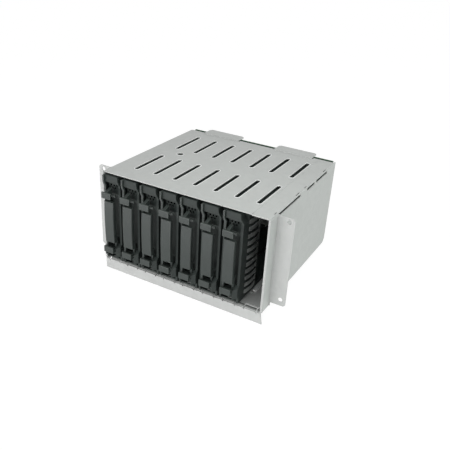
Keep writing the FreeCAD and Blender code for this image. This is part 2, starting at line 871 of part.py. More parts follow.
def add_cheeks(body):
    """A thin cheek on the left of the lever's hub and a sloped gusset on its right."""
    nose = cell.cheek_front
    left_side = [
        (zero, cell.cheek_low),
        (zero, cell.cheek_high),
        (-nose, cell.cheek_nose),
        (-nose, cell.cheek_low),
    ]
    root = cell.heel_recess_depth
    strut = [(zero, cell.cheek_low), (root, cell.cheek_low), (root, cell.cheek_high),
             (zero, cell.cheek_high)]
    pad(body, "YZ", [strut], -cheek_outer, -cheek_inner)
    pad(body, "YZ", [left_side], -cheek_outer, -cheek_inner)
    wedge = [
        (cheek_inner, root),
        (cheek_inner, -nose),
        (body_edge, -(nose / 2)),
        (body_edge, zero),
        (recess_right, root),
    ]
    pad(body, "XY", [wedge], cell.cheek_low, cell.cheek_high)
    slope = [
        (-nose, cell.cheek_nose),
        (zero, cell.cheek_high),
        (-nose, cell.cheek_high),
    ]
    pocket(body, "YZ", [slope], cheek_inner, body_edge)
    bore = ((-cell.pivot_front, cell.pivot_height), cell.pin_radius + cell.pin_fit / 2)
    pocket(body, "YZ", [bore], -cheek_outer, cheek_outer)


def make_lever(index):
    """Bowed bar on two webs over a finger plate; the hub turns on the pin, a claw below it."""
    body = new_body(f"lever_{index + 1}", bay_centre(index))
    face = -cell.lever_face
    back = face + cell.lever_thickness
    bar = [
        (face, lever_high, cell.lever_bow),
        (face, cell.lever_low),
        (back, cell.lever_low),
        (back, lever_high),
    ]
    pad(body, "YZ", [bar], -lever_edge, lever_edge)
    front = -cell.heel_face
    plate_back = front + cell.heel_plate
    hub_front = -(cell.pivot_front + cell.hub_radius)
    hub_top = cell.pivot_height + cell.hub_radius
    heel = [
        (front, cell.heel_high),
        (front, cell.heel_low),
        (-cell.lever_web_back, cell.heel_low),
        (-cell.lever_web_back, hub_top),
        (hub_front, hub_top),
        (hub_front, cell.heel_low + cell.heel_plate),
        (plate_back, cell.heel_low + cell.heel_plate),
        (plate_back, cell.heel_high),
    ]
    pad(body, "YZ", [heel], -lever_edge, lever_edge)
    web_high = cell.lever_low + cell.lever_web_rise
    web_front = face + cell.lever_bevel * 2
    left_web = rectangle(web_front, cell.pivot_height, -cell.lever_web_back, web_high)
    pad(body, "YZ", [left_web], -lever_edge, -lever_edge + cell.lever_web)
    right_web = rectangle(back, cell.pivot_height, -cell.lever_web_back, web_high)
    pad(body, "YZ", [right_web], lever_edge - cell.lever_web, lever_edge)
    claw = [
        (-cell.pivot_front, cell.heel_low),
        (-cell.lever_web_back, cell.heel_low + cell.claw_taper),
        (cell.claw_back, cell.claw_tip + cell.claw_taper),
        (cell.claw_back, cell.claw_tip),
        (cell.claw_back - cell.claw_thickness, cell.claw_tip),
    ]
    pad(body, "YZ", [claw], -cell.claw_width / 2, cell.claw_width / 2)
    bore = ((-cell.pivot_front, cell.pivot_height), cell.pin_radius + cell.pin_fit)
    pocket(body, "YZ", [bore], -lever_edge, lever_edge)
    soften(body, "Chamfer", cell.lever_bevel,
           lambda box: box.ZLength > lever_high.value / 2 and box.YMin < face.value - 0.1)
    bevel_front(body, cell.heel_bevel, cell.heel_face, cell.heel_high)


def bevel_front(body, size, face, level):
    """Bevels the front top edge of a finger plate."""
    soften(body, "Chamfer", size,
           lambda box: near(box.YMin, -face) and near(box.YMax, -face) and near(box.ZMin, level))


def make_latch(index):
    """Latch plate on a rib and a bent arm that lies on the bezel; it slides up to open."""
    body = new_body(f"latch_{index + 1}", bay_centre(index))
    left = -cell.latch_width / 2 - cell.latch_offset
    right = cell.latch_width / 2 - cell.latch_offset
    front = -cell.heel_face
    plate_back = front + cell.latch_plate
    rest = -cell.latch_gap
    plate = rectangle(left, latch_low, right, latch_high)
    pad(body, "XZ", [plate], front, plate_back)
    rib = [
        (plate_back, latch_low),
        (rest, latch_low),
        (rest, latch_high + cell.latch_rib_rise),
        (plate_back, latch_high),
    ]
    pad(body, "YZ", [rib], -cell.latch_rib_left, -cell.latch_rib_right)
    arm_left = -body_edge - cell.arm_overhang
    arm_right = arm_left + cell.arm_top_width
    low_left = arm_left + cell.arm_shift
    low_right = low_left + cell.arm_low_width
    bend_high = block_low
    bend_low = bend_high - cell.arm_bend_length
    arm = [
        (arm_left, carrier_top),
        (arm_left, bend_high),
        (low_left, bend_low),
        (low_left, latch_low),
        (right, latch_low),
        (right, latch_low + cell.latch_foot),
        (low_right, latch_low + cell.latch_foot),
        (low_right, bend_low),
        (arm_right, bend_high),
        (arm_right, carrier_top),
    ]
    pad(body, "XZ", [arm], -cell.arm_face, rest)
    bevel_front(body, cell.latch_bevel, cell.heel_face, latch_high)


def make_pin(index):
    body = new_body(f"lever_pin_{index + 1}", bay_centre(index))
    spot = ((-cell.pivot_front, cell.pivot_height), cell.pin_radius)
    pad(body, "YZ", [spot], -cheek_outer, cheek_outer)


def make_spring(index):
    """Contact spring on the carrier's side: a spine with a column of bowed fingers."""
    body = new_body(f"emi_spring_{index + 1}", bay_centre(index))
    face = body_edge + cell.spring_gauge
    front = cell.spring_front
    back = front + cell.spring_depth
    top_margin = shoulder_high - cell.finger_top_margin
    span = top_margin - cell.finger_low - cell.finger_width
    spine = rectangle(back - cell.spine_width, cell.finger_low, back, top_margin)
    pad(body, "YZ", [spine], body_edge, face)
    crown = body_edge + cell.finger_bulge
    ramp = cell.finger_ramp
    finger = [
        (body_edge, front),
        (face, front),
        (crown + cell.spring_gauge, front + ramp),
        (crown + cell.spring_gauge, back - ramp),
        (face, back),
        (body_edge, back),
        (crown, back - ramp),
        (crown, front + ramp),
    ]
    strip = pad(body, "XY", [finger], cell.finger_low, cell.finger_low + cell.finger_width)
    repeat(body, [strip], "Z", span / (cell.finger_count - 1), cell.finger_count)


make_top_cover()
make_side_panel("left_side_panel", -1)
make_side_panel("right_side_panel", 1)
make_ear("left_ear", -1)
make_ear("right_ear", 1)
make_floor()
make_guides("lower_guides", zero, cell.guide_height, cell.guide_front,
            depth - cell.guide_rear_gap)
make_guides("upper_guides", upper_guide_low, ceiling,
            cell.vent_front + cell.vent_length + cell.upper_guide_inset,
            cell.vent_front + row_pitch - cell.upper_guide_inset)
make_rivets()
make_rear_panel()
make_backplane()
make_screws()
make_drive_sockets()
make_data_plugs()
make_power_plug()
for number in range(int(cell.carrier_count.value)):
    make_carrier(number)
    make_lever(number)
    make_latch(number)
    make_pin(number)
    make_spring(number)

doc.recompute()
for item in doc.Objects:
    if "Invalid" in item.State or "Error" in item.State:
        raise RuntimeError(f"{item.Name} did not rebuild: {item.State}")
for item in sub_parts:
    if item.Shape.isNull() or not item.Shape.isValid():
        raise RuntimeError(f"{item.Label} has no valid shape")

os.makedirs("parts", exist_ok=True)
for item in sub_parts:
    item.Shape.exportStep(f"parts/{item.Label}.step")
    box = item.Shape.BoundBox
    print(f"{item.Label:18s} {len(item.Shape.Solids)} solids, {item.Shape.Volume:9.1f} mm3, "
          f"X {box.XMin:.1f}..{box.XMax:.1f} Y {box.YMin:.1f}..{box.YMax:.1f} "
          f"Z {box.ZMin:.1f}..{box.ZMax:.1f}")
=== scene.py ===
import json
import bmesh
import bpy
import numpy as np
from mathutils import Matrix, Vector


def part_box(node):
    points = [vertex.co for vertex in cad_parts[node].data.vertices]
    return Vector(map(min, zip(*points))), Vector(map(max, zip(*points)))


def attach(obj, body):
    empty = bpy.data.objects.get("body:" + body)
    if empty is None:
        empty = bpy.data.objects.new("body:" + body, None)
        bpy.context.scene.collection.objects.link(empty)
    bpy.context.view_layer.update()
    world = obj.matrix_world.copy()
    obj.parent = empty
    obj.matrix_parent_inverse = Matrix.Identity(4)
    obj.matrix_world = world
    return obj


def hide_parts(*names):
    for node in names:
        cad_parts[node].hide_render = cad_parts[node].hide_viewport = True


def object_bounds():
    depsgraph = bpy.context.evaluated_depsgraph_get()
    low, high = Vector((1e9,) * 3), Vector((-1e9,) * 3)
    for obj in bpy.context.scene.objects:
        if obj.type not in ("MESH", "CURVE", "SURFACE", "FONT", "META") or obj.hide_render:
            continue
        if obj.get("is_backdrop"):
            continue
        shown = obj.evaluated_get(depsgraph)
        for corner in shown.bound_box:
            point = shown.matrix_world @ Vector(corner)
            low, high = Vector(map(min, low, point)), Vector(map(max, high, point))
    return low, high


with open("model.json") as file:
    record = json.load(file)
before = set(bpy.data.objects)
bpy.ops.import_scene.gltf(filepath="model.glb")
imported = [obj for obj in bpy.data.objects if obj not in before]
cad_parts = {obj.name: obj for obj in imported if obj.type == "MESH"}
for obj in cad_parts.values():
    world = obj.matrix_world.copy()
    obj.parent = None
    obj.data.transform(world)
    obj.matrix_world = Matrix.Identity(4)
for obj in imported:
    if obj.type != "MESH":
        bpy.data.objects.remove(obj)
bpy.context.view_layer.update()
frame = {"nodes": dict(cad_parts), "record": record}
nodes = frame["nodes"]
scene = bpy.context.scene
print("stage 1: frame loaded,", len(nodes), "nodes")

camera = {
    "place": (0.21085, -0.34238, 0.21613),
    "azimuth": 27.484,
    "elevation": 27.467,
    "roll": 3.574,
    "lens": 45.09,
    "sensor": 36.0,
    "clip": (0.01, 20.0),
}


# back points from the object to the lens; right and up are turned about it by the roll
def cameraAxes(azimuth, elevation, roll):
    a, e, r = np.radians((azimuth, elevation, roll))
    back = np.array([np.sin(a) * np.cos(e), -np.cos(a) * np.cos(e), np.sin(e)])
    level = np.array([np.cos(a), np.sin(a), 0.0])
    upright = np.cross(back, level)
    right = level * np.cos(r) + upright * np.sin(r)
    up = upright * np.cos(r) - level * np.sin(r)
    return np.column_stack((right, up, back))


def placeCamera(settings):
    lensData = bpy.data.cameras.new("camera")
    lensData.sensor_width = settings["sensor"]
    lensData.lens = settings["lens"]
    lensData.clip_start, lensData.clip_end = settings["clip"]
    viewer = bpy.data.objects.new("camera", lensData)
    axes = cameraAxes(settings["azimuth"], settings["elevation"], settings["roll"])
    turn = Matrix([list(row) for row in axes]).to_4x4()
    viewer.matrix_world = Matrix.Translation(settings["place"]) @ turn
    scene.collection.objects.link(viewer)
    scene.camera = viewer


placeCamera(camera)
print("stage 2: camera placed")


# values are numbers or sockets, in the order of the node's inputs
def addMath(tree, operation, *values, clamp=False):
    step = tree.nodes.new("ShaderNodeMath")
    step.operation = operation
    step.use_clamp = clamp
    for slot, value in enumerate(values):
        if isinstance(value, (int, float)):
            step.inputs[slot].default_value = value
        else:
            tree.links.new(value, step.inputs[slot])
    return step.outputs[0]


def addRange(tree, value, low, high, given=(0.0, 1.0), blend="LINEAR"):
    ramp = tree.nodes.new("ShaderNodeMapRange")
    ramp.interpolation_type = blend
    ramp.inputs["From Min"].default_value, ramp.inputs["From Max"].default_value = given
    ramp.inputs["To Min"].default_value, ramp.inputs["To Max"].default_value = low, high
    tree.links.new(value, ramp.inputs["Value"])
    return ramp.outputs["Result"]


def objectAxes(tree):
    coords = tree.nodes.new("ShaderNodeTexCoord")
    parts = tree.nodes.new("ShaderNodeSeparateXYZ")
    tree.links.new(coords.outputs["Object"], parts.inputs["Vector"])
    return parts.outputs


def mixShaders(tree, share, first, second, output):
    choose = tree.nodes.new("ShaderNodeMixShader")
    tree.links.new(share, choose.inputs["Fac"])
    tree.links.new(first.outputs[0], choose.inputs[1])
    tree.links.new(second.outputs[0], choose.inputs[2])
    tree.links.new(choose.outputs[0], tree.nodes[output].inputs["Surface"])


studio = {
    "world": {"colour": (1.0, 1.0, 1.0, 1.0), "light": 0.39, "backdrop": 1.0},
    "floor": {
        "colour": (0.9, 0.9, 0.9, 1.0), "rough": 0.9, "shine": 0.1, "glow": 1.12, "glowShare": 0.84,
        "size": 6.0, "gap": 0.0002, "shadeDepth": 0.9,
        "fades": [("Y", 0.002, 0.010), ("Y", -0.0131, -0.0133), ("X", 0.065, 0.0685),
                  ("X", -0.068, -0.0755)],
    },
    "lamps": [
        {"name": "frontLamp", "place": (-0.15, -1.2, 0.05), "aim": (0.0, 0.05, 0.0), "size": (0.8, 0.8),
         "power": 4.5, "colour": (1.0, 1.0, 1.0)},
        {"name": "lowStrip", "place": (-0.05, -0.18, -0.04), "aim": (-0.03, 0.0, -0.035),
         "size": (0.46, 0.03), "power": 0.21, "colour": (1.0, 1.0, 1.0)},
        {"name": "sideLamp", "place": (1.2, 0.1, 0.3), "aim": (0.0, 0.05, 0.0), "size": (0.8, 0.8),
         "power": 4.1, "colour": (0.88, 1.0, 0.92)},
        {"name": "topLamp", "place": (0.06, -0.03, 0.26), "aim": (0.03, 0.01, 0.03), "size": (0.2, 0.08),
         "power": 0.235, "colour": (0.93, 1.0, 0.95)},
    ],
}


# 1 for camera rays, reflections and rays through glass, which see a bright surround; 0 for light on surfaces
def seenDirectly(tree):
    path = tree.nodes.new("ShaderNodeLightPath")
    reflected = addMath(tree, "MAXIMUM", path.outputs["Is Camera Ray"], path.outputs["Is Glossy Ray"])
    return addMath(tree, "MAXIMUM", reflected, path.outputs["Is Transmission Ray"])


def lightWorld(spec):
    world = bpy.data.worlds.new("studioWorld")
    world.use_nodes = True
    tree = world.node_tree
    ambient = tree.nodes["Background"]
    backdrop = tree.nodes.new("ShaderNodeBackground")
    for node, strength in ((ambient, spec["light"]), (backdrop, spec["backdrop"])):
        node.inputs["Color"].default_value = spec["colour"]
        node.inputs["Strength"].default_value = strength
    mixShaders(tree, seenDirectly(tree), ambient, backdrop, "World Output")
    scene.world = world


def hangLamps(lamps):
    for spec in lamps:
        lampData = bpy.data.lights.new(spec["name"], "AREA")
        lampData.shape = "RECTANGLE"
        lampData.size, lampData.size_y = spec["size"]
        lampData.energy = spec["power"]
        lampData.color = spec["colour"]
        lamp = bpy.data.objects.new(spec["name"], lampData)
        lamp.location = spec["place"]
        lamp.rotation_euler = (Vector(spec["aim"]) - lamp.location).to_track_quat("-Z", "Y").to_euler()
        lamp.visible_camera = False
        scene.collection.objects.link(lamp)


# share of the glow left on the ground: a soft shade painted behind the hanging lip, not computed light; each
# fade has its axis, its dark end and its bright end
def lipShade(tree, spec):
    axes = objectAxes(tree)
    lit = 0.0
    for axis, dark, bright in spec["fades"]:
        fade = addRange(tree, axes[axis], 1.0 - spec["shadeDepth"], 1.0, (dark, bright), "SMOOTHSTEP")
        lit = addMath(tree, "MAXIMUM", lit, fade)
    return lit


# a matt floor that keeps the shadows, mixed with a glow that only direct views see
def layFloor(spec):
    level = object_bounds()[0][2] - spec["gap"]
    reach = spec["size"] / 2
    mesh = bpy.data.meshes.new("studioFloor")
    corners = [(x * reach, y * reach, level) for x, y in ((-1, -1), (1, -1), (1, 1), (-1, 1))]
    mesh.from_pydata(corners, [], [(0, 1, 2, 3)])
    ground = bpy.data.objects.new("studioFloor", mesh)
    scene.collection.objects.link(ground)
    paint = bpy.data.materials.new("paleFloor")
    paint.use_nodes = True
    tree = paint.node_tree
    matt = tree.nodes["Principled BSDF"]
    matt.inputs["Base Color"].default_value = spec["colour"]
    matt.inputs["Roughness"].default_value = spec["rough"]
    matt.inputs["Specular IOR Level"].default_value = spec["shine"]
    glow = tree.nodes.new("ShaderNodeEmission")
    glow.inputs["Strength"].default_value = spec["glow"]
    share = addMath(tree, "MULTIPLY", seenDirectly(tree), spec["glowShare"])
    lit = addMath(tree, "MULTIPLY", share, lipShade(tree, spec))
    mixShaders(tree, lit, matt, glow, "Material Output")
    mesh.materials.append(paint)
    ground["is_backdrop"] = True


scene.view_settings.view_transform = "Standard"
lightWorld(studio["world"])
hangLamps(studio["lamps"])
layFloor(studio["floor"])
print("stage 3: studio lit")


def addGroup(name, inputs, outputs):
    tree = bpy.data.node_groups.new(name, "ShaderNodeTree")
    for label, value in inputs:
        kind = "NodeSocketColor" if isinstance(value, tuple) else "NodeSocketFloat"
        socket = tree.interface.new_socket(label, in_out="INPUT", socket_type=kind)
        socket.default_value = value
    for label, kind in outputs:
        tree.interface.new_socket(label, in_out="OUTPUT", socket_type=kind)
    return tree, tree.nodes.new("NodeGroupInput"), tree.nodes.new("NodeGroupOutput")


def addNoise(tree, scaleFrom, detail):
    coords = tree.nodes.new("ShaderNodeTexCoord")
    noise = tree.nodes.new("ShaderNodeTexNoise")
    noise.inputs["Detail"].default_value = detail
    tree.links.new(coords.outputs["Object"], noise.inputs["Vector"])
    tree.links.new(scaleFrom, noise.inputs["Scale"])
    return noise.outputs["Fac"]


# grain: fine noise about a half as a height, and the same noise spread to 2 n - 0.5 as a mask
def buildGrain():
    tree, given, result = addGroup(
        "fineGrain", [("Scale", 900.0)], [("Height", "NodeSocketFloat"), ("Mask", "NodeSocketFloat")])
    noise = addNoise(tree, given.outputs["Scale"], 4.0)
    tree.links.new(noise, result.inputs["Height"])
    tree.links.new(addMath(tree, "MULTIPLY_ADD", noise, 2.0, -0.5, clamp=True), result.inputs["Mask"])
    return tree


# spangle: cells of slightly different brightness, as hot-dip zinc shows, and large clouds to stain them by
def buildSpangle():
    tree, given, result = addGroup(
        "zincSpangle", [("Scale", 220.0), ("Clouds", 14.0), ("Contrast", 0.5)],
        [("Mask", "NodeSocketFloat"), ("Clouds", "NodeSocketFloat")])
    coords = tree.nodes.new("ShaderNodeTexCoord")
    cells = tree.nodes.new("ShaderNodeTexVoronoi")
    tree.links.new(coords.outputs["Object"], cells.inputs["Vector"])
    tree.links.new(given.outputs["Scale"], cells.inputs["Scale"])
    grey = tree.nodes.new("ShaderNodeSeparateColor")
    tree.links.new(cells.outputs["Color"], grey.inputs["Color"])
    centred = addMath(tree, "SUBTRACT", grey.outputs[0], 0.5)
    weighted = addMath(tree, "MULTIPLY", centred, given.outputs["Contrast"])
    mask = addMath(tree, "ADD", weighted, 0.5, clamp=True)
    clouds = addNoise(tree, given.outputs["Clouds"], 3.0)
    tree.links.new(mask, result.inputs["Mask"])
    tree.links.new(clouds, result.inputs["Clouds"])
    return tree


# edge wear and painted highlight: the face attribute "edge" broken up by 0.7 n + 0.65 of the noise n
def buildWearAndHighlight():
    tree, given, result = addGroup(
        "edgeWearAndHighlight", [("Amount", 0.5), ("Scale", 260.0)], [("Mask", "NodeSocketFloat")])
    marked = tree.nodes.new("ShaderNodeAttribute")
    marked.attribute_name = "edge"
    noise = addNoise(tree, given.outputs["Scale"], 3.0)
    broken = addMath(tree, "MULTIPLY_ADD", noise, 0.7, 0.65)
    wornAndLit = addMath(tree, "MULTIPLY", marked.outputs["Fac"], broken)
    mask = addMath(tree, "MULTIPLY", wornAndLit, given.outputs["Amount"], clamp=True)
    tree.links.new(mask, result.inputs["Mask"])
    return tree


# fold shade: mask of the strip that gets painted shade, in front of the catch slots and down the top of the
# bend, where y < Back and z > Low, in metres
def buildFold():
    tree, given, result = addGroup(
        "foldShade", [("Back", -0.0102), ("Low", -0.043), ("Soft", 0.0004)], [("Mask", "NodeSocketFloat")])
    axes = objectAxes(tree)
    forward = addMath(tree, "SUBTRACT", given.outputs["Back"], axes["Y"])
    inFront = addMath(tree, "DIVIDE", forward, given.outputs["Soft"], clamp=True)
    above = addMath(tree, "SUBTRACT", axes["Z"], given.outputs["Low"])
    onTop = addMath(tree, "DIVIDE", above, given.outputs["Soft"], clamp=True)
    tree.links.new(addMath(tree, "MULTIPLY", inFront, onTop), result.inputs["Mask"])
    return tree


grainGroup = buildGrain()
spangleGroup = buildSpangle()
wearAndHighlightGroup = buildWearAndHighlight()
foldGroup = buildFold()


def placeGroup(tree, group, **values):
    node = tree.nodes.new("ShaderNodeGroup")
    node.node_tree = group
    for label, value in values.items():
        node.inputs[label].default_value = value
    return node


# the Mix node's sockets when it mixes colours; its others are for numbers and vectors
colourSockets = {"factor": 0, "first": 6, "second": 7, "result": 2}


def mixColours(tree, mask, first, second):
    mix = tree.nodes.new("ShaderNodeMix")
    mix.data_type = "RGBA"
    for slot, value in (("first", first), ("second", second)):
        if isinstance(value, tuple):
            mix.inputs[colourSockets[slot]].default_value = value
        else:
            tree.links.new(value, mix.inputs[colourSockets[slot]])
    tree.links.new(mask, mix.inputs[colourSockets["factor"]])
    return mix.outputs[colourSockets["result"]]


grainDepth = 0.0001


def addBump(tree, height, strength):
    bump = tree.nodes.new("ShaderNodeBump")
    bump.inputs["Strength"].default_value = strength
    bump.inputs["Distance"].default_value = grainDepth
    tree.links.new(height, bump.inputs["Height"])
    return bump.outputs["Normal"]


def newFinish(name):
    material = bpy.data.materials.new(name)
    material.use_nodes = True
    return material, material.node_tree, material.node_tree.nodes["Principled BSDF"]


def makeSheetFinish(name, spec):
    material, tree, surface = newFinish(name)
    spangle = placeGroup(
        tree, spangleGroup, Scale=spec["spangle"], Clouds=spec["clouds"], Contrast=spec["contrast"])
    grain = placeGroup(tree, grainGroup, Scale=spec["grain"])
    wearAndHighlight = placeGroup(tree, wearAndHighlightGroup, Amount=spec["wearAndHighlight"])
    cells = mixColours(tree, spangle.outputs["Mask"], spec["dark"], spec["light"])
    stained = addRange(tree, spangle.outputs["Clouds"], 0.0, spec["smudge"])
    clouded = mixColours(tree, stained, cells, spec["stain"])
    edged = mixColours(tree, wearAndHighlight.outputs["Mask"], clouded, spec["edge"])
    # painted shade: the fold mask darkens the strip in front of the catch slots to the given colour
    if "fold" in spec:
        fold = placeGroup(tree, foldGroup)
        edged = mixColours(tree, fold.outputs["Mask"], edged, spec["fold"])
    tree.links.new(edged, surface.inputs["Base Color"])
    tree.links.new(addRange(tree, spangle.outputs["Clouds"], *spec["rough"]), surface.inputs["Roughness"])
    surface.inputs["Metallic"].default_value = spec["metal"]
    tree.links.new(addBump(tree, grain.outputs["Height"], spec["bump"]), surface.inputs["Normal"])
    return material


def makePlasticFinish(name, spec):
    material, tree, surface = newFinish(name)
    grain = placeGroup(tree, grainGroup, Scale=spec["grain"])
    broad = placeGroup(tree, grainGroup, Scale=spec["clouds"])
    wearAndHighlight = placeGroup(tree, wearAndHighlightGroup, Amount=spec["wearAndHighlight"])
    toned = mixColours(tree, broad.outputs["Mask"], spec["dark"], spec["light"])
    edged = mixColours(tree, wearAndHighlight.outputs["Mask"], toned, spec["edge"])
    tree.links.new(edged, surface.inputs["Base Color"])
    tree.links.new(addRange(tree, broad.outputs["Mask"], *spec["rough"]), surface.inputs["Roughness"])
    surface.inputs["Specular IOR Level"].default_value = spec["shine"]
    tree.links.new(addBump(tree, grain.outputs["Height"], spec["bump"]), surface.inputs["Normal"])
    return material


# the edge colour on the bevel faces is partly wear and partly painted highlight
sheetSpec = {
    "dark": (0.50, 0.505, 0.50, 1.0), "light": (0.60, 0.605, 0.60, 1.0), "stain": (0.56, 0.57, 0.56, 1.0),
    "edge": (0.70, 0.70, 0.70, 1.0), "spangle": 240.0, "clouds": 16.0, "contrast": 0.35, "smudge": 0.5,
    "grain": 2600.0, "wearAndHighlight": 0.35, "rough": (0.5, 0.62), "metal": 0.2, "bump": 0.25,
}
finishes = {
    "sheet_steel": makeSheetFinish("galvanisedSheet", sheetSpec),
    "guide_steel": makeSheetFinish("guideSteel", dict(
        sheetSpec, dark=(0.72, 0.73, 0.72, 1.0), light=(0.82, 0.83, 0.82, 1.0), stain=(0.76, 0.77, 0.76, 1.0),
        spangle=420.0, metal=0.3)),
    "rivet_steel": makeSheetFinish("platedSteel", dict(
        sheetSpec, dark=(0.76, 0.76, 0.75, 1.0), light=(0.86, 0.86, 0.85, 1.0), stain=(0.80, 0.80, 0.79, 1.0),
        spangle=900.0, rough=(0.25, 0.35))),
    "spring_steel": makeSheetFinish("springStrip", dict(
        sheetSpec, dark=(0.60, 0.62, 0.61, 1.0), light=(0.70, 0.72, 0.71, 1.0), stain=(0.65, 0.67, 0.66, 1.0),
        edge=(0.9, 0.92, 0.91, 1.0), spangle=900.0, rough=(0.1, 0.18), metal=1.0)),
    "connector_shell": makeSheetFinish("stampedShell", dict(sheetSpec, spangle=800.0, rough=(0.25, 0.35))),
    "carrier_plastic": makePlasticFinish("carrierPlastic", {
        "dark": (0.024, 0.031, 0.029, 1.0), "light": (0.034, 0.042, 0.039, 1.0),
        "edge": (0.075, 0.085, 0.082, 1.0), "grain": 3200.0, "clouds": 60.0, "wearAndHighlight": 0.6,
        "rough": (0.42, 0.55), "bump": 0.3, "shine": 0.3}),
    "lever_plastic": makePlasticFinish("leverPlastic", {
        "dark": (0.033, 0.041, 0.038, 1.0), "light": (0.042, 0.051, 0.048, 1.0),
        "edge": (0.12, 0.13, 0.125, 1.0), "grain": 3000.0, "clouds": 50.0, "wearAndHighlight": 0.6,
        "rough": (0.38, 0.5), "bump": 0.3, "shine": 0.4}),
    "circuit_board": makePlasticFinish("solderMask", {
        "dark": (0.012, 0.055, 0.025, 1.0), "light": (0.018, 0.075, 0.035, 1.0),
        "edge": (0.20, 0.19, 0.10, 1.0), "grain": 1800.0, "clouds": 90.0, "wearAndHighlight": 0.7,
        "rough": (0.3, 0.4), "bump": 0.15, "shine": 0.5}),
    "connector_plastic": makePlasticFinish("connectorPlastic", {
        "dark": (0.016, 0.016, 0.017, 1.0), "light": (0.024, 0.024, 0.025, 1.0),
        "edge": (0.05, 0.05, 0.05, 1.0), "grain": 2800.0, "clouds": 80.0, "wearAndHighlight": 0.5,
        "rough": (0.4, 0.5), "bump": 0.2, "shine": 0.4}),
}
goldFinish = makeSheetFinish("goldContact", dict(
    sheetSpec, dark=(0.62, 0.45, 0.16, 1.0), light=(0.72, 0.54, 0.22, 1.0), stain=(0.68, 0.50, 0.19, 1.0),
    edge=(0.85, 0.70, 0.38, 1.0), spangle=900.0, rough=(0.25, 0.38), metal=0.9))
# near-white rims: a painted highlight along the raised edge round each vent
rimHighlightFinish = makeSheetFinish("paintedHighlightRim", dict(
    sheetSpec, dark=(0.90, 0.90, 0.90, 1.0), light=(0.98, 0.98, 0.98, 1.0), stain=(0.94, 0.94, 0.94, 1.0),
    rough=(0.3, 0.4)))
nodeFinishes = {
    # the floor panel's sheet, with painted shade on the strip in front of the catch slots
    "floor_panel": makeSheetFinish("foldedSheet", dict(sheetSpec, fold=(0.15, 0.155, 0.15, 1.0))),
    # the top cover's edges and vent edges lightened nearly to white: a painted highlight
    "top_cover": makeSheetFinish("punchedSheet", dict(sheetSpec, edge=(0.95, 0.95, 0.95, 1.0), wearAndHighlight=0.9)),
}
record = frame["record"]
slotOf = {part["node"]: part["material_slot"] for part in record["subparts"]}
bodyOf = {node: body for body, held in record["behaviour"]["bodies"].items() for node in held}
for name, item in nodes.items():
    item.data.materials.clear()
    item.data.materials.append(finishes[slotOf[name]])
print("stage 4: finishes made")

softening = {
    "sheet_steel": {"width": 0.00012, "steps": 1},
    "guide_steel": {"width": 0.00012, "steps": 1},
    "circuit_board": {"width": 0.00008, "steps": 1},
    "connector_plastic": {"width": 0.00015, "steps": 1},
    "connector_shell": {"width": 0.0001, "steps": 1},
    "carrier_plastic": {"width": 0.00018, "steps": 1},
    "lever_plastic": {"width": 0.00022, "steps": 2},
}
weldDistance = 0.000002
flatAngle, sharpAngle, turnedAngle = np.radians((0.1, 30.0, 40.0))


# a node's mesh is loose triangles; the copy has them joined
def weldedCopy(name):
    work = bmesh.new()
    work.from_mesh(nodes[name].data)
    bmesh.ops.remove_doubles(work, verts=work.verts, dist=weldDistance)
    work.verts.index_update()
    return work


# flat seams are cleared and sharp edges bevelled; the bevels carry "edge"
def softenedMesh(name, width, steps):
    work = weldedCopy(name)
    bmesh.ops.dissolve_limit(work, angle_limit=flatAngle, verts=work.verts, edges=work.edges)
    marks = work.faces.layers.float.new("edge")
    sharp = [edge for edge in work.edges if edge.is_manifold and edge.calc_face_angle() > sharpAngle]
    made = bmesh.ops.bevel(work, geom=sharp, offset=width, offset_type="OFFSET", segments=steps,
                           profile=0.5, affect="EDGES", clamp_overlap=True, loop_slide=False)
    for face in made["faces"]:
        face[marks] = 1.0
    mesh = bpy.data.meshes.new(name + "Soft")
    work.to_mesh(mesh)
    work.free()
    mesh.shade_smooth()
    mesh.set_sharp_from_angle(angle=sharpAngle)
    return mesh


# a mesh becomes a piece on a body, in place of the nodes named; a finish of its own beats the slot's
def placePiece(name, mesh, body, slotName, replaced=(), finish=None):
    mesh.materials.clear()
    mesh.materials.append(finish or finishes[slotName])
    piece = bpy.data.objects.new(name, mesh)
    scene.collection.objects.link(piece)
    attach(piece, body)
    if replaced:
        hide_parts(*replaced)
    return piece


for name in nodes:
    slotName = slotOf[name]
    if slotName in softening:
        mesh = softenedMesh(name, **softening[slotName])
        soft = placePiece(name + "Soft", mesh, bodyOf[name], slotName, (name,), nodeFinishes.get(name))
        weighted = soft.modifiers.new("flatFaces", "WEIGHTED_NORMAL")
        weighted.keep_sharp = True
print("stage 5: edges softened")


# boxes of what the edges join: each point takes the lowest label among its neighbours, until none changes
def joinedBoxes(work, edges):
    points = np.array([vert.co[:] for vert in work.verts])
    pairs = np.array([[vert.index for vert in edge.verts] for edge in edges])
    labels = np.arange(len(points))
    changed = True
    while changed:
        lowest = labels[pairs].min(axis=1)
        fresh = labels.copy()
        np.minimum.at(fresh, pairs[:, 0], lowest)
        np.minimum.at(fresh, pairs[:, 1], lowest)
        changed = bool((fresh != labels).any())
        labels = fresh
    marks = np.unique(labels[pairs])
    return [(points[labels == mark].min(axis=0), points[labels == mark].max(axis=0)) for mark in marks]


# boxes of the separate solids in a node
def solidBoxes(name):
    work = weldedCopy(name)
    boxes = joinedBoxes(work, work.edges)
    work.free()
    return boxes


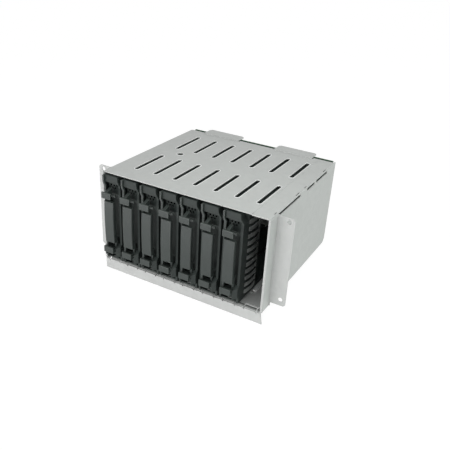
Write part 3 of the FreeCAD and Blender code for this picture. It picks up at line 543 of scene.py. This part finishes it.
# rings of points (copies, rows, around, xyz) become closed skins: rows are joined in order, and both ends are
# fanned to their middles
def skinRings(name, rings):
    copies, rows, around, _ = rings.shape
    size = rows * around
    ends = rings[:, [0, -1]].mean(axis=2)
    points = np.concatenate([rings.reshape(copies, size, 3), ends], axis=1)
    step = np.arange(around)
    after = (step + 1) % around
    row = np.arange(rows - 1)[:, None] * around
    corners = [row + step, row + after, row + around + after, row + around + step]
    quads = np.stack(corners, axis=-1).reshape(-1, 4)
    last = size - around
    first = np.stack([after, step, np.full(around, size)], axis=-1)
    final = np.stack([last + step, last + after, np.full(around, size + 1)], axis=-1)
    shift = (np.arange(copies) * (size + 2))[:, None, None]
    faces = (quads[None] + shift).reshape(-1, 4).tolist()
    faces += (np.concatenate([first, final])[None] + shift).reshape(-1, 3).tolist()
    mesh = bpy.data.meshes.new(name)
    mesh.from_pydata(points.reshape(-1, 3).tolist(), [], faces)
    work = bmesh.new()
    work.from_mesh(mesh)
    bmesh.ops.recalc_face_normals(work, faces=work.faces)
    work.to_mesh(mesh)
    work.free()
    mesh.shade_smooth()
    mesh.set_sharp_from_angle(angle=turnedAngle)
    return mesh


def placeRings(name, rings, *settings, **more):
    placePiece(name, skinRings(name, rings), *settings, **more)


# a profile of (radius, height) rows turned about an axis; a cross recess lowers what lies within its arms
def turnProfile(centres, axis, profile, around, recess=None):
    turn = np.linspace(0.0, 2.0 * np.pi, around, endpoint=False)
    radius, height = profile[:, 0][:, None], profile[:, 1][:, None]
    across, along = radius * np.cos(turn), radius * np.sin(turn)
    rise = np.broadcast_to(height, across.shape).copy()
    if recess:
        nearest = np.minimum(np.abs(across), np.abs(along))
        inside = np.clip((recess["arm"] - nearest) / recess["slope"], 0.0, 1.0)
        inside = inside * np.clip((recess["reach"] - radius) / recess["slope"], 0.0, 1.0)
        rise = rise - recess["depth"] * inside
    order = {"x": (2, 0, 1), "y": (0, 2, 1), "z": (0, 1, 2)}[axis]
    local = np.stack([across, along, rise], axis=-1)[..., order]
    return np.asarray(centres)[:, None, None, :] + local[None]


rivetHead = {
    "node": "guide_rivets", "shank": 0.0008, "head": 0.0013, "dome": 0.0004, "around": 28, "rows": 7,
}


# dome: the radius falls with the cosine as the height grows with the sine
def makeRivets(spec):
    boxes = solidBoxes(spec["node"])
    centres = [((low[0] + high[0]) / 2, (low[1] + high[1]) / 2, low[2]) for low, high in boxes]
    deep = boxes[0][1][2] - boxes[0][0][2] - spec["dome"]
    turn = np.linspace(0.0, np.pi / 2, spec["rows"])
    dome = np.column_stack([spec["head"] * np.cos(turn[:-1]), deep + spec["dome"] * np.sin(turn[:-1])])
    shank = np.array([[spec["shank"], 0.0], [spec["shank"], deep]])
    rings = turnProfile(centres, "z", np.vstack([shank, dome]), spec["around"])
    placeRings("rivetDomes", rings, bodyOf[spec["node"]], "rivet_steel", (spec["node"],))


screwHead = {
    "node": "backplane_screws", "shank": 0.0015, "radius": 0.0028, "height": 0.0018, "around": 64,
    "shoulder": 0.55, "shoulderRows": 6, "middle": 0.00008, "crownRows": 20,
    "recess": {"arm": 0.00042, "slope": 0.00016, "reach": 0.0016, "depth": 0.0009},
}


# pan head: flat ring, rounded shoulder by a quarter circle, then fine rings across the crown for the recess
def makeScrews(spec):
    boxes = solidBoxes(spec["node"])
    centres = [((low[0] + high[0]) / 2, low[1], (low[2] + high[2]) / 2) for low, high in boxes]
    total = boxes[0][1][1] - boxes[0][0][1]
    seat = total - spec["height"]
    turn = np.linspace(0.0, np.pi / 2, spec["shoulderRows"])
    bend = spec["height"] * spec["shoulder"]
    inner = spec["radius"] - bend
    shoulder = np.column_stack([inner + bend * np.cos(turn), total - bend + bend * np.sin(turn)])
    radii = np.linspace(inner, spec["middle"], spec["crownRows"])[1:]
    crown = np.column_stack([radii, np.full(radii.shape, total)])
    shank = np.array([[spec["shank"], 0.0], [spec["shank"], seat], [spec["radius"], seat]])
    profile = np.vstack([shank, shoulder, crown])
    rings = turnProfile(centres, "y", profile, spec["around"], spec["recess"])
    placeRings("panScrews", rings, bodyOf[spec["node"]], "rivet_steel", (spec["node"],))


pivotPin = {"radius": 0.001, "lead": 0.00015, "around": 24}


# straight pin with a small lead at both ends, along X
def makePins(spec):
    for name in [node for node in nodes if node.startswith("lever_pin_")]:
        low, high = (np.array(corner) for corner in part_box(name))
        centre = [(low[0], (low[1] + high[1]) / 2, (low[2] + high[2]) / 2)]
        length, radius, lead = high[0] - low[0], spec["radius"], spec["lead"]
        narrow = radius - lead
        profile = np.array([[narrow, 0.0], [radius, lead], [radius, length - lead], [narrow, length]])
        rings = turnProfile(centre, "x", profile, spec["around"])
        placeRings(name + "Turned", rings, bodyOf[name], "rivet_steel", (name,))


makeRivets(rivetHead)
makeScrews(screwHead)
makePins(pivotPin)
print("stage 6: rivets, screws and pins turned")

# profile: distance out from the hole's edge and height over the sheet, a closed section; flat and wall are the
# least and the most rise of a normal on the sheet's top and in an opening
ventRim = {
    "node": "top_cover", "largest": 0.05, "smallest": 0.003, "widest": 0.007, "around": 40,
    "flat": 0.999, "wall": 0.05, "tolerance": 0.00001,
    "profile": [
        (-0.00005, -0.0003), (-0.00005, 0.0001), (0.0001, 0.00022), (0.0004, 0.0002), (0.00065, -0.0001)],
}


# low and high corners of the openings cut down through a node's sheet, and the height of its flat top
def openingBoxes(name, spec):
    work = weldedCopy(name)
    work.normal_update()
    flats = [face for face in work.faces if face.normal.z > spec["flat"]]
    level = max(flats, key=lambda face: face.calc_area()).verts[0].co.z
    rims = [edge for edge in work.edges
            if all(abs(vert.co.z - level) < spec["tolerance"] for vert in edge.verts)
            and any(abs(face.normal.z) < spec["wall"] for face in edge.link_faces)]
    boxes = [(low[:2], high[:2]) for low, high in joinedBoxes(work, rims)]
    work.free()
    sizes = [high - low for low, high in boxes]
    kept = [box for box, size in zip(boxes, sizes)
            if size.min() > spec["smallest"] and size[0] < spec["widest"] and size[1] < spec["largest"]]
    return level, sorted(kept, key=lambda box: tuple(box[0]))


# a stadium of radius r and straight 2 s round each opening, at the distance d from it: x = (r + d) cos t and
# y = (r + d) sin t + s sign(sin t)
def makeVentRims(spec):
    top, boxes = openingBoxes(spec["node"], spec)
    low, high = (np.array(side)[:, None, None] for side in zip(*boxes))
    centre = (low + high) / 2
    radius = (high[..., 0] - low[..., 0]) / 2
    straight = (high[..., 1] - low[..., 1]) / 2 - radius
    out, height = np.array(spec["profile"]).T[:, None, :, None]
    angle = (np.arange(spec["around"]) + 0.5) * 2 * np.pi / spec["around"]
    reach = radius + out
    along = centre[..., 0] + reach * np.cos(angle)
    across = centre[..., 1] + reach * np.sin(angle) + straight * np.sign(np.sin(angle))
    points = np.stack([along, across, np.broadcast_to(top + height, along.shape)], axis=-1)
    holes, rows, around, _ = points.shape
    hole = np.arange(holes)[:, None, None] * rows * around
    row, step = np.arange(rows)[:, None], np.arange(around)
    above, after = (row + 1) % rows, (step + 1) % around
    corners = [(row, step), (above, step), (above, after), (row, after)]
    quads = np.stack([hole + ring * around + turn for ring, turn in corners], axis=-1).reshape(-1, 4)
    mesh = bpy.data.meshes.new("ventRims")
    mesh.from_pydata(points.reshape(-1, 3).tolist(), [], quads.tolist())
    mesh.shade_smooth()
    placePiece("ventRims", mesh, bodyOf[spec["node"]], "sheet_steel", finish=rimHighlightFinish)
    return holes


rimCount = makeVentRims(ventRim)
print("stage 7:", rimCount, "openings of the top cover rimmed")

springStrip = {
    "fingers": 11, "width": 0.0036, "gauge": 0.0003, "spine": 0.0024, "rows": 17, "round": 0.00009,
    "fullness": 0.75,
}


# section: a flat strip's outline with chamfered corners, as (across the thickness, across the width)
def stripSection(thick, wide, corner):
    a, b = thick / 2, wide / 2
    return np.array([
        (-a, -b + corner), (-a + corner, -b), (a - corner, -b), (a, -b + corner),
        (a, b - corner), (a - corner, b), (-a + corner, b), (-a, b - corner)])


# finger: bow = rise * sin(pi t) ** fullness along Y, with the section carried square to the bow; the spine is
# straight along Z
def makeSprings(spec):
    t = np.linspace(0.0, 1.0, spec["rows"])
    half = spec["gauge"] / 2
    section = stripSection(spec["gauge"], spec["width"], spec["round"])
    spineSection = stripSection(spec["gauge"], spec["spine"], spec["round"])
    for name in [node for node in nodes if node.startswith("emi_spring_")]:
        low, high = (np.array(corner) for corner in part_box(name))
        rise = high[0] - low[0] - spec["gauge"]
        x = low[0] + half + rise * np.sin(np.pi * t) ** spec["fullness"]
        y = low[1] + half + (high[1] - low[1] - spec["gauge"]) * t
        slope = np.stack([np.gradient(x, t), np.gradient(y, t)], axis=-1)
        slope /= np.linalg.norm(slope, axis=1, keepdims=True)
        outward = np.stack([slope[:, 1], -slope[:, 0]], axis=-1)
        ring = np.zeros((spec["rows"], len(section), 3))
        ring[..., 0] = x[:, None] + outward[:, 0, None] * section[:, 0]
        ring[..., 1] = y[:, None] + outward[:, 1, None] * section[:, 0]
        ring[..., 2] = section[:, 1]
        levels = np.linspace(low[2] + spec["width"] / 2, high[2] - spec["width"] / 2, spec["fingers"])
        fingers = np.repeat(ring[None], spec["fingers"], axis=0)
        fingers[..., 2] += levels[:, None, None]
        spine = np.zeros_like(ring)
        spine[..., 0] = low[0] + half + spineSection[:, 0]
        spine[..., 1] = high[1] - spec["spine"] / 2 + spineSection[:, 1]
        spine[..., 2] = (low[2] + (high[2] - low[2]) * t)[:, None]
        rings = np.concatenate([fingers, spine[None]])
        placeRings(name + "Bowed", rings, bodyOf[name], "spring_steel", (name,))


makeSprings(springStrip)
print("stage 8: contact springs bowed")

contactRows = {
    "drive_sockets": {
        "count": 22, "gap": 0.0016, "margin": 0.0022, "long": 0.0052, "wide": 0.0007, "thick": 0.00016,
        "depth": 0.0006, "lead": 0.0001,
    },
    "data_connectors": {
        "count": 14, "blade": 0.0016, "margin": 0.0032, "long": 0.0078, "wide": 0.0006, "thick": 0.0002,
        "depth": 0.0011, "edge": 0.0009, "lead": 0.0001, "bladeLead": 0.0003,
    },
    "power_connector": {"pitch": 0.0042, "wide": 0.0011, "long": 0.0085, "depth": 0.0011, "lead": 0.0006},
}


# bars: a rectangle's four corners carried from start to end along Y, drawn in by half the lead at both ends
def straightBars(centres, halfX, halfZ, start, end, lead):
    corners = np.array([(-1.0, -1.0), (1.0, -1.0), (1.0, 1.0), (-1.0, 1.0)])
    steps = np.array([start, start + lead, end - lead, end])
    inset = np.array([lead, 0.0, 0.0, lead]) / 2
    ring = np.zeros((len(centres), len(steps), len(corners), 3))
    ring[..., 0] = centres[:, None, None, 0] + corners[None, None, :, 0] * (halfX - inset)[None, :, None]
    ring[..., 1] = steps[None, :, None]
    ring[..., 2] = centres[:, None, None, 1] + corners[None, None, :, 1] * (halfZ - inset)[None, :, None]
    return ring


# contact blades on both faces of each drive socket's slot, spaced evenly along it
def makeSocketContacts(spec):
    boxes = solidBoxes("drive_sockets")
    low, high = boxes[0]
    levels = np.linspace(low[2] + spec["margin"], high[2] - spec["margin"], spec["count"])
    middles = np.array([(a[0] + b[0]) / 2 for a, b in boxes])
    sides = np.array([-1.0, 1.0]) * (spec["gap"] - spec["thick"]) / 2
    x, side, z = np.meshgrid(middles, sides, levels, indexing="ij")
    centres = np.stack([(x + side).ravel(), z.ravel()], axis=-1)
    start, end = low[1] + spec["depth"], low[1] + spec["long"]
    rings = straightBars(centres, spec["thick"] / 2, spec["wide"] / 2, start, end, spec["lead"])
    placeRings("socketContacts", rings, "cage", "connector_shell", finish=goldFinish)


# each data connector gets a plastic blade in its mouth and flat contacts on the blade's two faces
def makeDataContacts(spec):
    boxes = solidBoxes("data_connectors")
    middles = np.array([((a[0] + b[0]) / 2, (a[2] + b[2]) / 2) for a, b in boxes])
    low, high = boxes[0]
    halfBlade = (high[0] - low[0]) / 2 - spec["margin"]
    start = low[1] + spec["depth"]
    end = start + spec["long"]
    last = end - spec["edge"]
    blades = straightBars(middles, halfBlade, spec["blade"] / 2, start, end, spec["bladeLead"])
    placeRings("dataBlades", blades, "cage", "connector_plastic")
    across = np.linspace(spec["edge"] - halfBlade, halfBlade - spec["edge"], spec["count"])
    sides = np.array([-1.0, 1.0]) * (spec["blade"] + spec["thick"]) / 2
    grids = np.meshgrid(np.arange(len(middles)), across, sides, indexing="ij")
    plug, step, side = (grid.ravel() for grid in grids)
    centres = middles[plug] + np.stack([step, side], axis=-1)
    rings = straightBars(centres, spec["wide"] / 2, spec["thick"] / 2, start, last, spec["lead"])
    placeRings("dataContacts", rings, "cage", "connector_shell", finish=goldFinish)


# one square pin in each hole of the power connector
def makePowerPins(spec):
    low, high = (np.array(corner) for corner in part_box("power_connector"))
    middle = (low + high) / 2
    columns = np.array([-1.0, 0.0, 1.0]) * spec["pitch"]
    x, z = np.meshgrid(columns, np.array([-0.5, 0.5]) * spec["pitch"], indexing="ij")
    centres = np.stack([x.ravel() + middle[0], z.ravel() + middle[2]], axis=-1)
    start = low[1] + spec["depth"]
    end = start + spec["long"]
    rings = straightBars(centres, spec["wide"] / 2, spec["wide"] / 2, start, end, spec["lead"])
    placeRings("powerPins", rings, "cage", "connector_shell")


makeSocketContacts(contactRows["drive_sockets"])
makeDataContacts(contactRows["data_connectors"])
makePowerPins(contactRows["power_connector"])

# the can's waist is in shares of its radius and height
boardParts = {
    "drop": 0.0095, "sink": 0.00002, "taper": 0.25,
    "chip": {"size": (0.0064, 0.0050), "height": 0.0011},
    "pad": {"size": (0.0016, 0.0009), "height": 0.0005, "columns": 5, "pitch": 0.0021, "below": 0.0046},
    "can": {"radius": 0.0021, "height": 0.0046, "spread": 0.0056, "around": 28, "bend": 0.0004, "bendRows": 4,
            "dish": 0.00012, "dishRadius": 0.8, "middle": 0.0002,
            "waist": [(1.0, 0.0), (1.0, 0.18), (0.9, 0.22), (1.0, 0.26)]},
}


# low blocks on the board's back: a rectangle's corners raised along Y and drawn in at the top alone
def raisedBlocks(centres, size, base, height, taper):
    ring = straightBars(centres, size[0] / 2, size[1] / 2, base, base + height, height * taper)
    ring[:, 0, :, [0, 2]] = ring[:, 1, :, [0, 2]]
    return ring


# a row of chips, small blocks and capacitor cans above the slots, one set to each bay
def makeBoardParts(spec):
    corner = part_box("backplane")[1]
    level, back = corner[2] - spec["drop"], corner[1] - spec["sink"]
    bays = np.array([(a[0] + b[0]) / 2 for a, b in solidBoxes("drive_sockets")])
    chip, pad, can = spec["chip"], spec["pad"], spec["can"]
    centres = np.column_stack([bays, np.full(bays.shape, level)])
    blocks = raisedBlocks(centres, chip["size"], back, chip["height"], spec["taper"])
    placeRings("boardChips", blocks, "cage", "connector_plastic")
    column = (np.arange(pad["columns"]) - (pad["columns"] - 1) / 2) * pad["pitch"]
    x = (bays[:, None] + column).ravel()
    centres = np.column_stack([x, np.full(x.shape, level - pad["below"])])
    blocks = raisedBlocks(centres, pad["size"], back, pad["height"], spec["taper"])
    placeRings("boardResistors", blocks, "cage", "connector_plastic")
    turn = np.linspace(0.0, np.pi / 2, can["bendRows"])
    top = np.column_stack([np.cos(turn), np.sin(turn)]) * can["bend"]
    top += (can["radius"] - can["bend"], can["height"] - can["bend"])
    waist = np.array(can["waist"]) * (can["radius"], can["height"])
    dish = can["height"] - can["dish"]
    crown = np.array([[can["radius"] * can["dishRadius"], dish], [can["middle"], dish]])
    places = [(bay + can["spread"], back, level) for bay in bays[:-1]]
    rings = turnProfile(places, "y", np.vstack([waist, top, crown]), can["around"])
    placeRings("boardCans", rings, "cage", "connector_shell")


makeBoardParts(boardParts)
print("stage 9: contacts and board parts made")
